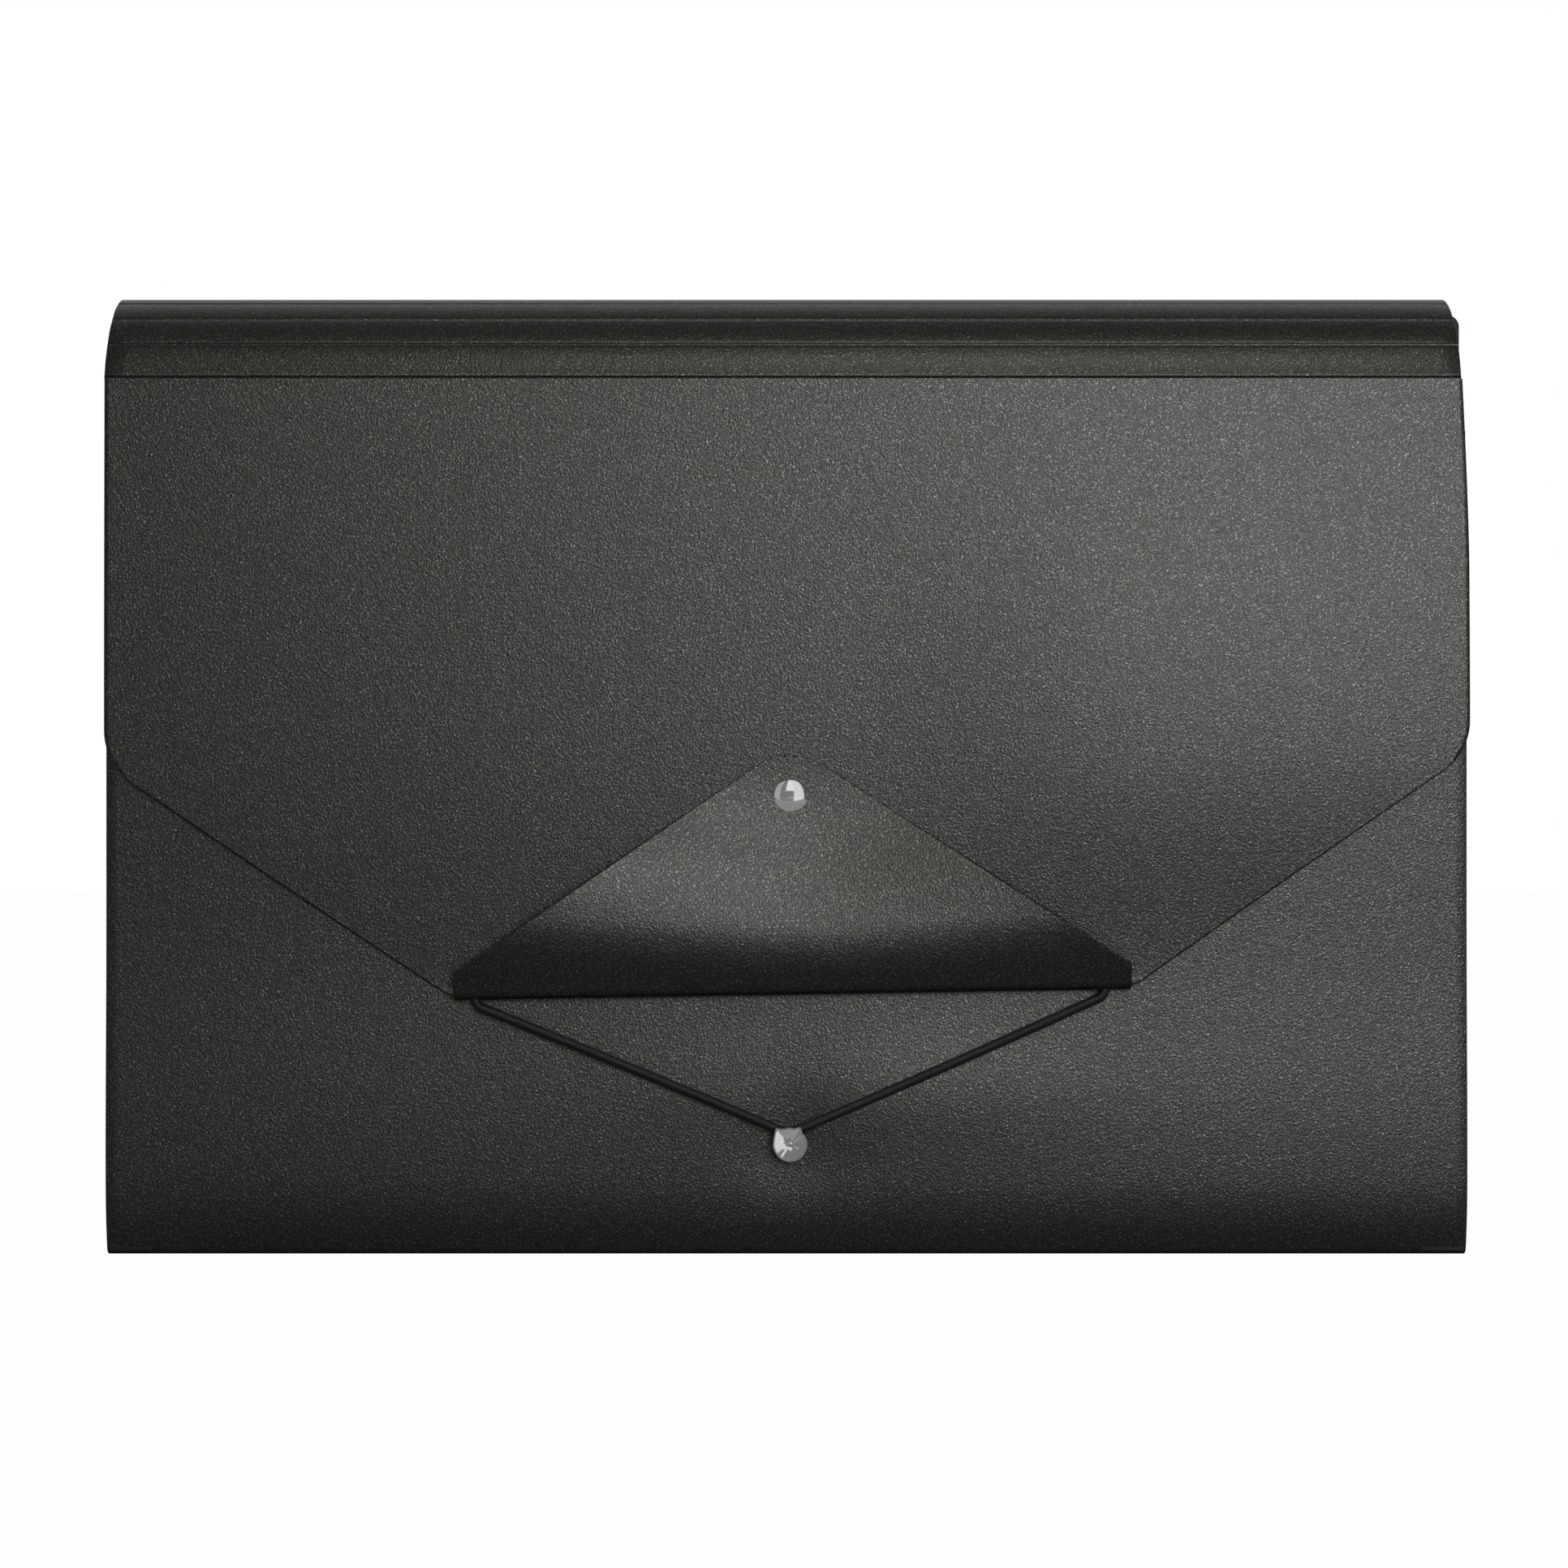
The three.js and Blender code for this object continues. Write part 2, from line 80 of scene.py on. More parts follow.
# Flap with its folded tip: the fold's tube, its return to the flap, and the tip's rounded point
FOLD_HEIGHT = 63.4
FOLD_HALF_WIDTH = 81.6
SHOULDER_HEIGHT = 120.6
SHOULDER_ROUND = 15.0
FOLD_ROUND = 1.5
TIP_SIDE = 6.5
TIP_SLOPE = 33.5
TIP_ROUND = 15.0
FOLD_RADIUS = 2.55
FOLD_LEAN = 17
FOLD_RISE = 2.0
BULGE_RADIUS = 30.0
RETURN_LEAN = 11
RETURN_RADIUS = 110.0
TIP_GAP = 0.3
ROW_STEP = 0.06
APEX_HALF_WIDTH = 1.0
RIM_WIDTH = 0.5
RIM_ROLL = 0.25
HOLE_ROOM = 0.3
HOLE_DEPTH = 3.2

# How far the folded tip stands off the flap, and over which heights above the fold
TIP_FLARE = 5.0
FLARE_START = 15.0
FLARE_CENTRE = 8.0
FLARE_FOOT = 2.0
FLARE_RISE = 30.0
FLARE_FALL = 22.0
FLARE_KEPT = 0.35

# What is out of true on the photographed file
FLAP_SKEW = 0.0165
SKEW_TOP = 200.0
SKEW_POWER = 1.3
FOLD_SHIFT = 1.5
SHIFT_TOP = 120.0
SHIFT_POWER = 1.5
NARROWING = 1.5
NARROW_FROM = 166.0
NARROW_POWER = 1.5
METAL_SHIFT = 0.9
HEAD_TILT = 0.14

# How far the flap's right half stands out, and between which places
SWELL_OUT = 1.4
SWELL_START = 15.0
SWELL_END = 85.0
SWELL_HEIGHT = 122.0
SWELL_FOOT = 60.0

# Hollow of the front cover round the stud, and the swell above it
HOLLOW_RADIUS = 13.0
HOLLOW_ABOVE = 24.0
HOLLOW_SHARE = 0.7
COVER_SWELL = 0.7
COVER_SWELL_PLACE = (20, 39)
COVER_SWELL_REACH = (50, 14)

# How far the closed flap and the front cover lean back towards their feet: height, degrees
FLAP_LEANS = [(213, -0.9), (160, -0.45), (125, 0.1), (88, 1.7), (63, 1.9)]
COVER_LEANS = [
    (200, 0), (85, 0), (72, -0.6), (60, -1.5), (45, -1.8), (28, -0.4), (18, 0.8), (9, 7.3), (0, 18),
]

# Elastic cord and hardware
CORD_RADIUS = 1.15
CORD_SIDES = 20
CORD_START = 0.15
CORD_BEND = 2.6
CORD_EXIT = 76.1
CORD_HEIGHT = 66.35
CORD_DEPTH = -20.6
WRAP_RADIUS = 2.45
WRAP_DEPTHS = (-18.2, -20.8)
STUD_HEIGHT = 27.0
HEAD_RADIUS = 4.2
HEAD_LIFT = 0.5
RIVET_HEIGHT = 111.4
TIP_FACE = -19.55

# Pleated insert
POCKETS = 7
PITCH = 4.7
DIVIDER_SHEET = 0.5
FILM = 0.3
INSERT_FRONT = -15.35
INSERT_DEPTH = 32.4
DIVIDER_HALF = 164.15
DIVIDER_BOTTOM = 6.0
TAB_HALF = 26
TAB_HEIGHT = 12
SIDE_PLEAT = 12.0
BOTTOM_PLEAT = 3.0
OUTER_FOLD = 0.7
INNER_FOLD = 0.45

# Looks: the charcoal of the cover, and a turn that keeps the grain's layers off the flat sheets
CHARCOAL = (0.080, 0.081, 0.0685)
GRAIN_TURN = (0.71, 0.43, 0.29)

# Stage and light: the floor's reach in millimetres, the places of lamps and cards in metres
FLOOR_REACH = 3000
FLOOR_SHADE = 0.35
FLOOR_GLOW = 0.98
WALL_GLOW = 0.46
ROOM_GLOW = 0.12
LAMP_DISTANCE = 1.9
LAMP_SIZE = 0.55
LAMP_LEVEL = 0.13
LAMP_TARGET = (0, 0, 0.12)
CARD_DISTANCE = 0.27
WHITE = (1.0, 1.0, 1.0)
COOL = (0.97, 1.0, 1.15)


class Walk:
    """A path across a plane in straight runs and round bends, headings in degrees counter-clockwise."""

    def __init__(self, across, up, heading):
        self.point = Vector((across, up))
        self.heading = math.radians(heading)
        self.points = [self.point.copy()]

    def ahead(self, length, step=6.0):
        """Goes straight on, in steps of about the given length."""
        parts = max(1, round(length / step))
        for _ in range(parts):
            run = Vector((math.cos(self.heading), math.sin(self.heading))) * (length / parts)
            self.point = self.point + run
            self.points.append(self.point.copy())

    def bend(self, radius, degrees, step=6.0):
        """Goes round a bend, to the left where degrees is above 0, in steps of at most so many degrees."""
        side = self.heading + math.copysign(math.pi / 2, degrees)
        centre = self.point + radius * Vector((math.cos(side), math.sin(side)))
        parts = max(3, math.ceil(abs(degrees) / step))
        turn = Matrix.Rotation(math.radians(degrees) / parts, 2)
        for _ in range(parts):
            self.point = centre + turn @ (self.point - centre)
            self.points.append(self.point.copy())
        self.heading += math.radians(degrees)


def lengths(points):
    """Distance along the path at each of its points."""
    total = [0.0]
    for before, after in zip(points, points[1:]):
        total.append(total[-1] + (after - before).length)
    return total


def between(value, keys, results):
    """Straight-line reading of results at value, the keys rising."""
    if value <= keys[0]:
        return results[0]
    for i in range(1, len(keys)):
        if value <= keys[i]:
            share = (value - keys[i - 1]) / max(keys[i] - keys[i - 1], 1e-9)
            return results[i - 1] + (results[i] - results[i - 1]) * share
    return results[-1]


def rounded(corners, step=6.0):
    """Outline through [x, y, radius] corners, rounded where the radius isn't zero."""
    points = []
    for i, (x, y, radius) in enumerate(corners):
        corner = Vector((x, y))
        if radius == 0:
            points.append(corner)
            continue
        before = (Vector(corners[i - 1][:2]) - corner).normalized()
        after = (Vector(corners[(i + 1) % len(corners)][:2]) - corner).normalized()
        half = before.angle(after) / 2
        centre = corner + (before + after).normalized() * radius / math.sin(half)
        spoke = corner + before * radius / math.tan(half)
        turn = math.copysign(math.pi - 2 * half, after.cross(before))
        parts = max(2, math.ceil(math.degrees(abs(turn)) / step))
        for k in range(parts + 1):
            points.append(centre + Matrix.Rotation(turn * k / parts, 2) @ (spoke - centre))
    return points


def new_mesh(name, points, faces):
    """Mesh object from points in millimetres."""
    mesh = bpy.data.meshes.new(name)
    mesh.from_pydata([tuple(c * MM for c in point) for point in points], [], faces)
    mesh.validate()
    made = bpy.data.objects.new(name, mesh)
    bpy.context.scene.collection.objects.link(made)
    return made


def settle(made):
    """Applies the modifiers, and turns the faces outwards with sharp edges kept sharp."""
    graph = bpy.context.evaluated_depsgraph_get()
    mesh = bpy.data.meshes.new_from_object(made.evaluated_get(graph))
    made.modifiers.clear()
    made.data = mesh
    work = bmesh.new()
    work.from_mesh(mesh)
    bmesh.ops.remove_doubles(work, verts=work.verts, dist=WELD * MM)
    bmesh.ops.recalc_face_normals(work, faces=work.faces)
    work.to_mesh(mesh)
    work.free()
    for face in mesh.polygons:
        face.use_smooth = True
    mesh.set_sharp_from_angle(angle=math.radians(SHARP_ANGLE))
    return made


def thicken(made, thickness, edge=EDGE_ROUND, cutters=()):
    """Gives a surface its sheet thickness, cuts its holes and rounds its edges."""
    solid = made.modifiers.new("thickness", "SOLIDIFY")
    solid.thickness = thickness * MM
    solid.offset = 0
    solid.use_even_offset = True
    settle(made)
    for cutter in cutters:
        cut = made.modifiers.new("hole", "BOOLEAN")
        cut.operation = "DIFFERENCE"
        cut.object = cutter
        cut.solver = "EXACT"
    if edge:
        rim = made.modifiers.new("edge", "BEVEL")
        rim.width = edge * MM
        rim.segments = 2
        rim.limit_method = "ANGLE"
        rim.angle_limit = math.radians(50)
    settle(made)
    for cutter in cutters:
        bpy.data.objects.remove(cutter)
    return made


def grid_faces(rows, wide):
    """Faces between the points of a grid, row after row."""
    faces = []
    for row in range(rows - 1):
        for k in range(wide - 1):
            first = row * wide + k
            faces.append((first, first + 1, first + 1 + wide, first + wide))
    return faces


def ring_faces(rings, sides):
    """Faces between closed rings of points, ring after ring."""
    faces = []
    for ring in range(rings - 1):
        for k in range(sides):
            first, second = ring * sides + k, ring * sides + (k + 1) % sides
            faces.append((first, second, second + sides, first + sides))
    return faces


def lofted(name, rows, columns=60, roll=0.0):
    """Surface through rows of (y, z, left, right), each divided alike, its sides rolled back by roll."""
    points = []
    for y, z, left, right in rows:
        step = (right - left) / columns
        rim = min(RIM_WIDTH, step / 3)
        across = [left + step * k for k in range(columns)] + [right]
        if roll:
            across[1:1] = [left + rim, left + 2 * rim]
            across[-1:-1] = [right - 2 * rim, right - rim]
        for k, x in enumerate(across):
            back = roll * rim / RIM_WIDTH if k in (0, len(across) - 1) else 0
            points.append((x, y + back, z))
    return new_mesh(name, points, grid_faces(len(rows), len(across)))


def flat_panel(name, outline, y):
    """One flat face in the XZ plane at the given depth."""
    return new_mesh(name, [(p.x, y, p.y) for p in outline], [tuple(range(len(outline)))])


def shape_by(made, move):
    """Moves every vertex by the (x, y, z) that move gives for its place, in millimetres."""
    for vertex in made.data.vertices:
        x, y, z = vertex.co / MM
        vertex.co = vertex.co + Vector(move(x, y, z)) * MM


def dress(made, finish, body, slot, *nodes):
    """Gives a piece its material, the body that it rides on and the nodes that it stands for."""
    made.data.materials.clear()
    made.data.materials.append(finish)
    if body:
        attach(made, body)
    if nodes:
        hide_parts(*nodes)
    return made


# Materials

def material(name, colour, roughness, metallic=0.0):
    """New material with its Principled shader, as (material, nodes, links, shader)."""
    made = bpy.data.materials.new(name)
    made.use_nodes = True
    nodes = made.node_tree.nodes
    shader = nodes["Principled BSDF"]
    shader.inputs["Base Color"].default_value = (*colour, 1)
    shader.inputs["Roughness"].default_value = roughness
    shader.inputs["Metallic"].default_value = metallic
    return made, nodes, made.node_tree.links, shader


def combine(nodes, links, operation, first, second):
    """Output of a maths node on two sockets or numbers."""
    made = nodes.new("ShaderNodeMath")
    made.operation = operation
    for source, socket in zip((first, second), made.inputs):
        if isinstance(source, float):
            socket.default_value = source
        else:
            links.new(source, socket)
    return made.outputs[0]


def noise(nodes, links, scale, detail=2.0, stretch=(1, 1, 1)):
    """Noise on the object's own coordinates, stretched along its axes and turned off the flat sheets."""
    place = nodes.new("ShaderNodeTexCoord")
    mapping = nodes.new("ShaderNodeMapping")
    mapping.inputs["Scale"].default_value = stretch
    mapping.inputs["Rotation"].default_value = GRAIN_TURN
    pattern = nodes.new("ShaderNodeTexNoise")
    pattern.inputs["Scale"].default_value = scale
    pattern.inputs["Detail"].default_value = detail
    links.new(place.outputs["Object"], mapping.inputs["Vector"])
    links.new(mapping.outputs["Vector"], pattern.inputs["Vector"])
    return pattern


def ramp(nodes, links, source, stops):
    """Colour ramp over a factor, its stops as (place, grey or colour)."""
    made = nodes.new("ShaderNodeValToRGB")
    while len(made.color_ramp.elements) < len(stops):
        made.color_ramp.elements.new(0.5)
    for element, (place, colour) in zip(made.color_ramp.elements, stops):
        element.position = place
        element.color = (colour,) * 3 + (1,) if isinstance(colour, float) else (*colour, 1)
    links.new(source, made.inputs["Fac"])
    return made.outputs["Color"]


def bump(nodes, links, shader, source, strength, distance):
    """Fine relief in the shader's normals, its distance in millimetres."""
    made = nodes.new("ShaderNodeBump")
    made.inputs["Strength"].default_value = strength
    made.inputs["Distance"].default_value = distance * MM
    links.new(source, made.inputs["Height"])
    links.new(made.outputs["Normal"], shader.inputs["Normal"])


def pearl_sheet(name, colour, grain=1.0):
    """Charcoal polypropylene: a fine sand-like grain with small bright pearl flakes in it."""
    made, nodes, links, shader = material(name, colour, 0.34, 0.9)
    shades = noise(nodes, links, 2600, 1.0)
    tint = [(0.30, 0.75), (0.55, 0.95), (0.62, 1.35), (0.72, 3.2)]
    stops = [(place, tuple(level * c for c in colour)) for place, level in tint]
    links.new(ramp(nodes, links, shades.outputs["Fac"], stops), shader.inputs["Base Color"])
    relief = noise(nodes, links, 1900, 2.0)
    bump(nodes, links, shader, relief.outputs["Fac"], grain, 0.11)
    return made


def film_plastic(name, colour, roughness):
    """Thin smooth polypropylene with slight haze and faint flow lines."""
    made, nodes, links, shader = material(name, colour, roughness, 0.15)
    haze = noise(nodes, links, 220, 3.0, (1, 1, 0.25))
    tint = [(0.3, tuple(0.8 * c for c in colour)), (0.7, tuple(1.2 * c for c in colour))]
    links.new(ramp(nodes, links, haze.outputs["Fac"], tint), shader.inputs["Base Color"])
    bump(nodes, links, shader, haze.outputs["Fac"], 0.15, 0.08)
    return made


def paper():
    """Matt white label with faint fibres."""
    made, nodes, links, shader = material("label_paper", (0.86, 0.85, 0.81), 0.85)
    fibres = noise(nodes, links, 900, 6.0, (0.3, 1, 1))
    tint = [(0.3, (0.80, 0.79, 0.75)), (0.7, (0.90, 0.89, 0.85))]
    links.new(ramp(nodes, links, fibres.outputs["Fac"], tint), shader.inputs["Base Color"])
    bump(nodes, links, shader, fibres.outputs["Fac"], 0.3, 0.05)
    return made


def braided_elastic():
    """Dark braid whose strands run both ways round the cord, on its length and turn coordinates, its colour
    darker in the grooves between the strands as painted shade.
    """
    made, nodes, links, shader = material("elastic_braid", (0.02, 0.02, 0.021), 0.35)
    place = nodes.new("ShaderNodeUVMap")
    heights = []
    for slant in (1, -1):
        mapping = nodes.new("ShaderNodeMapping")
        mapping.inputs["Rotation"].default_value = (0, 0, math.radians(38 * slant))
        strands = nodes.new("ShaderNodeTexWave")
        strands.inputs["Scale"].default_value = 1.1
        strands.inputs["Distortion"].default_value = 0.6
        strands.inputs["Detail"].default_value = 1
        links.new(place.outputs["UV"], mapping.inputs["Vector"])
        links.new(mapping.outputs["Vector"], strands.inputs["Vector"])
        heights.append(strands.outputs["Fac"])
    weave = combine(nodes, links, "MAXIMUM", *heights)
    # Painted shade: the base colour darkens where the strands dip into the grooves between them
    tint = [(0.2, (0.003, 0.003, 0.003)), (0.75, (0.008, 0.008, 0.008)), (1.0, (0.020, 0.020, 0.021))]
    links.new(ramp(nodes, links, weave, tint), shader.inputs["Base Color"])
    bump(nodes, links, shader, weave, 0.4, 0.15)
    shader.inputs["Sheen Weight"].default_value = 0.05
    return made


def nickel():
    """Bright plated metal with a slightly uneven polish."""
    made, nodes, links, shader = material("nickel_plate", (0.72, 0.72, 0.73), 0.10, 1.0)
    haze = noise(nodes, links, 700, 4.0)
    polish = ramp(nodes, links, haze.outputs["Fac"], [(0.35, 0.06), (0.75, 0.16)])
    links.new(polish, shader.inputs["Roughness"])
    bump(nodes, links, shader, haze.outputs["Fac"], 0.05, 0.05)
    return made


COVER = pearl_sheet("cover_pearl", CHARCOAL)
CREASE = pearl_sheet("crease_pearl", CHARCOAL, 0.4)
DIVIDER = film_plastic("divider_plastic", (0.032, 0.033, 0.032), 0.42)
FILM_FINISH = film_plastic("film_plastic", (0.026, 0.027, 0.026), 0.38)
PAPER = paper()
ELASTIC = braided_elastic()
NICKEL = nickel()


# Flap

def flap_path():
    """Middle of the flap's sheet from its top crease down, round the fold and up to its tip's apex."""
    walk = Walk(FLAP_MIDDLE, FLAP_TOP - CREASE_RELIEF, -90)
    fold_outside = FOLD_RADIUS + SHEET / 2
    walk.ahead(FLAP_TOP - FOLD_HEIGHT - CREASE_RELIEF - fold_outside, 3.0)
    walk.bend(FOLD_RADIUS, FOLD_LEAN - 180)
    walk.ahead(FOLD_RISE, 1.0)
    walk.bend(BULGE_RADIUS, -FOLD_LEAN - RETURN_LEAN, 2.0)
    seated = SHEET + TIP_GAP
    easing = RETURN_RADIUS * (1 - math.cos(math.radians(RETURN_LEAN)))
    out = FLAP_MIDDLE - walk.point.x
    walk.ahead((out - seated - easing) / math.sin(math.radians(RETURN_LEAN)), 2.0)
    walk.bend(RETURN_RADIUS, RETURN_LEAN, 1.0)
    walk.ahead(FOLD_HEIGHT + FOLD_HALF_WIDTH - walk.point.y, 1.5)
    return walk.points


def flap_edge(path, along):
    """Half-width of the flap as (distance along its sheet, half-width), from the top to the apex."""
    drop = FLAP_TOP - CREASE_RELIEF
    turned = next(i for i in range(1, len(path)) if path[i].y > path[i - 1].y)
    rising = path[turned:]

    def on_tip(height):
        """Distance along the sheet at which the folded tip reaches a height."""
        return between(height, [p.y for p in rising], along[turned:])

    side = FOLD_HEIGHT + TIP_SIDE
    apex = side + FOLD_HALF_WIDTH * math.tan(math.radians(TIP_SLOPE))
    corners = [
        (HALF_WIDTH, -1.0, 0),
        (HALF_WIDTH, drop - SHOULDER_HEIGHT, SHOULDER_ROUND),
        (FOLD_HALF_WIDTH, drop - FOLD_HEIGHT, FOLD_ROUND),
        (FOLD_HALF_WIDTH, on_tip(side), FOLD_ROUND),
        (0, on_tip(apex), TIP_ROUND),
        (-FOLD_HALF_WIDTH, on_tip(side), 0),
    ]
    edge = [p for p in rounded(corners, 4.0) if p.x >= -1e-6]
    return [p.y for p in edge], [p.x for p in edge]


def leaning(leans):
    """Rising heights, and the depth at each of a sheet that leans like this, from 0 at its top."""
    heights, depths = [leans[0][0]], [0.0]
    keys = [height for height, degrees in reversed(leans)]
    slopes = [math.tan(math.radians(degrees)) for height, degrees in reversed(leans)]
    while heights[-1] > keys[0]:
        heights.append(heights[-1] - 1)
        depths.append(depths[-1] + between(heights[-1] + 0.5, keys, slopes))
    return heights[::-1], depths[::-1]


FLAP_LINE = leaning(FLAP_LEANS)
COVER_LINE = leaning(COVER_LEANS)


def flap_sway(height):
    """How far the closed flap stands out of its flat place (below 0), or behind it."""
    return between(height, *FLAP_LINE)


def right_swell(x, height):
    """How far the flap's right half stands out, most at its shoulder, so that it turns down below."""
    aside = min(1.0, max(0.0, (x - SWELL_START) / (SWELL_END - SWELL_START)))
    span = FLAP_TOP - SWELL_HEIGHT if height > SWELL_HEIGHT else SWELL_HEIGHT - SWELL_FOOT
    away = min(1.0, abs(height - SWELL_HEIGHT) / span)
    return -SWELL_OUT * math.sin(math.pi / 2 * aside) ** 2 * math.cos(math.pi / 2 * away) ** 2


def tip_flare(x, height):
    """How far the folded tip stands off the flap towards its ends, most at half its height."""
    far = math.hypot(x - FLARE_CENTRE, FLARE_START) - FLARE_START
    share = far / (math.hypot(FOLD_HALF_WIDTH, FLARE_START) - FLARE_START)
    above = height - FOLD_HEIGHT - FLARE_FOOT
    if above < FLARE_RISE:
        return -TIP_FLARE * share * math.sin(math.pi / 2 * max(0.0, above) / FLARE_RISE) ** 2
    fall = min(1.0, (above - FLARE_RISE) / FLARE_FALL)
    kept = FLARE_KEPT + (1 - FLARE_KEPT) * math.cos(math.pi / 2 * fall) ** 2
    return -TIP_FLARE * share * kept


def flap_skew(x, height):
    """How far the flap hangs askew, lower at its left and most of all at its fold."""
    return x * FLAP_SKEW * (max(0.0, SKEW_TOP - height) / (SKEW_TOP - FOLD_HEIGHT)) ** SKEW_POWER


def fold_shift(height):
    """How far the flap hangs to the right, most of all at its fold."""
    return FOLD_SHIFT * (max(0.0, SHIFT_TOP - height) / (SHIFT_TOP - FOLD_HEIGHT)) ** SHIFT_POWER


def bend_flap(x, y, z):
    """The flap's sway, swell, shift and skew, its narrower top right corner, and its tip's flare."""
    aside, out = fold_shift(z), flap_sway(z) + right_swell(x, z)
    above = max(0.0, z - NARROW_FROM) / (FLAP_TOP - NARROW_FROM)
    aside -= NARROWING * max(0.0, x) / HALF_WIDTH * above ** NARROW_POWER
    if y < FLAP_MIDDLE - SHEET:
        aside = METAL_SHIFT + aside * (1 - METAL_SHIFT / FOLD_SHIFT)
        out += tip_flare(x, z)
    return (aside, out, flap_skew(x, z))


def bar_down(x, y, z, radius, length):
    """Upright round bar that cuts a hole, its middle at the given place."""
    work = bmesh.new()
    place = Matrix.Translation(Vector((x, y, z)) * MM)
    bmesh.ops.create_cone(
        work, cap_ends=True, segments=32, radius1=radius * MM, radius2=radius * MM, depth=length * MM,
        matrix=place,
    )
    mesh = bpy.data.meshes.new("cutter")
    work.to_mesh(mesh)
    work.free()
    bar = bpy.data.objects.new("cutter", mesh)
    bpy.context.scene.collection.objects.link(bar)
    return bar


def flap_rows():
    """Rows of the flap's surface along its path, from its top crease to its tip's point."""
    path = flap_path()
    along = lengths(path)
    stops, halves = flap_edge(path, along)
    marks = [0.0]
    for mark in sorted(along + stops):
        if marks[-1] + ROW_STEP < mark <= stops[-1]:
            marks.append(mark)
    depths, heights = [p.x for p in path], [p.y for p in path]
    rows = []
    for mark in marks:
        middle = Vector((between(mark, along, depths), between(mark, along, heights)))
        half = max(between(mark, stops, halves), APEX_HALF_WIDTH)
        rows.append((middle.x, middle.y, -half, half))
    return rows


def make_flap():
    """Flap with its folded tip, and the two holes in the fold where the cord comes out."""
    flap = lofted("flap_sheet", flap_rows(), 72, RIM_ROLL)
    shape_by(flap, bend_flap)
    depth = CORD_DEPTH + flap_sway(FOLD_HEIGHT)
    holes = []
    for x in (-CORD_EXIT, CORD_EXIT):
        height = FOLD_HEIGHT + flap_skew(x, FOLD_HEIGHT)
        holes.append(bar_down(x + METAL_SHIFT, depth, height, CORD_RADIUS + HOLE_ROOM, HOLE_DEPTH))
    thicken(flap, SHEET, edge=0, cutters=holes)
    return dress(flap, COVER, "flap", "cover", "flap")


# Covers and spines

def front_bulge(height):
    """How far the front cover stands out, most above its foot, where it rolls in to the bottom spine."""
    return -between(height, *COVER_LINE)


def bell(x, z, place, reach):
    """1 at the place, and smoothly down to 0 beyond its reach."""
    return math.exp(-((x - place[0]) / reach[0]) ** 2 - ((z - place[1]) / reach[1]) ** 2)


def dented(x, y, z):
    """The bulge, with a hollow where the stud's rivet holds the sheet in, and a swell above it."""
    bulge = front_bulge(z)
    reach = HOLLOW_ABOVE if z > STUD_HEIGHT else HOLLOW_RADIUS
    hollow = HOLLOW_SHARE * bell(x, z, (METAL_SHIFT, STUD_HEIGHT), (HOLLOW_RADIUS, reach))
    swell = COVER_SWELL * bell(x, z, COVER_SWELL_PLACE, COVER_SWELL_REACH)
    return (0, max(0.0, bulge) * hollow - swell - bulge, 0)


def make_front_cover():
    """Front cover with rounded top corners, its rows close together where it rolls in to its foot."""
    marks = [FRONT_FOOT, 2, 3, 4.5, 6, 7.5, 9, 10.5, 12, 14, 16, 18] + [21 + 3 * k for k in range(56)]
    corner = rounded([(HALF_WIDTH, 0, 0), (HALF_WIDTH, FRONT_TOP, COVER_CORNER), (0, FRONT_TOP, 0)])
    corner = corner[1:-1]
    marks = sorted(set([m for m in marks if m < FRONT_TOP - COVER_CORNER] + [p.y for p in corner]))
    keys, halves = [FRONT_FOOT] + [p.y for p in corner], [HALF_WIDTH] + [p.x for p in corner]
    rows = []
    for z in marks:
        half = between(z, keys, halves)
        rows.append((FRONT_MIDDLE, z, -half, half))
    cover = lofted("front_cover_sheet", rows, 110)
    shape_by(cover, dented)
    thicken(cover, SHEET)
    return dress(cover, COVER, "front", "cover", "front_cover")


def make_back_cover():
    """Flat back cover, up to the crease of the rearmost strip."""
    rise = BACK_TOP - CREASE_RELIEF - BACK_FOOT
    rows = [(BACK_MIDDLE, BACK_FOOT + rise * k / 30, -HALF_WIDTH, HALF_WIDTH) for k in range(31)]
    cover = thicken(lofted("back_cover_sheet", rows), SHEET)
    return dress(cover, COVER, "back", "cover", "back_cover")


def make_bottom_spine():
    """Flat bottom of the cover, between its two lower creases."""
    front, rear = FRONT_MIDDLE - front_bulge(0) + 0.9, BACK_MIDDLE - 0.5
    rows = [(front + (rear - front) * k / 8, SHEET / 2, -HALF_WIDTH, HALF_WIDTH) for k in range(9)]
    spine = thicken(lofted("bottom_spine_sheet", rows), SHEET)
    return dress(spine, COVER, "back", "cover", "bottom_spine")


def crease_points():
    """Creases of the top spine as (y, z), from the flap's to the back cover's."""
    points = [Vector((FLAP_MIDDLE, FLAP_TOP))]
    for lean in STRIP_LEANS:
        run = Vector((math.sin(math.radians(lean)), math.cos(math.radians(lean))))
        points.append(points[-1] + run * STRIP_WIDTH)
    return points


def make_strips():
    """The five strips of the top spine, numbered from the back cover."""
    creases = crease_points()
    left, right = SPINE_SHIFT - SPINE_HALF_WIDTH, SPINE_SHIFT + SPINE_HALF_WIDTH
    for i in range(5):
        low, high = creases[i], creases[i + 1]
        run = (high - low).normalized() * CREASE_RELIEF
        low, high = low + run, high - run
        across = Vector((-run.y, run.x)).normalized()
        rows = []
        for k in range(11):
            share = k / 10
            point = low.lerp(high, share) + across * STRIP_CROWN * 4 * share * (1 - share)
            rows.append((point.x, point.y, left, right))
        number = 5 - i
        strip = thicken(lofted(f"spine_sheet_{number}", rows), SHEET)
        dress(strip, COVER, f"strip_{number}", "cover", f"spine_strip_{number}")


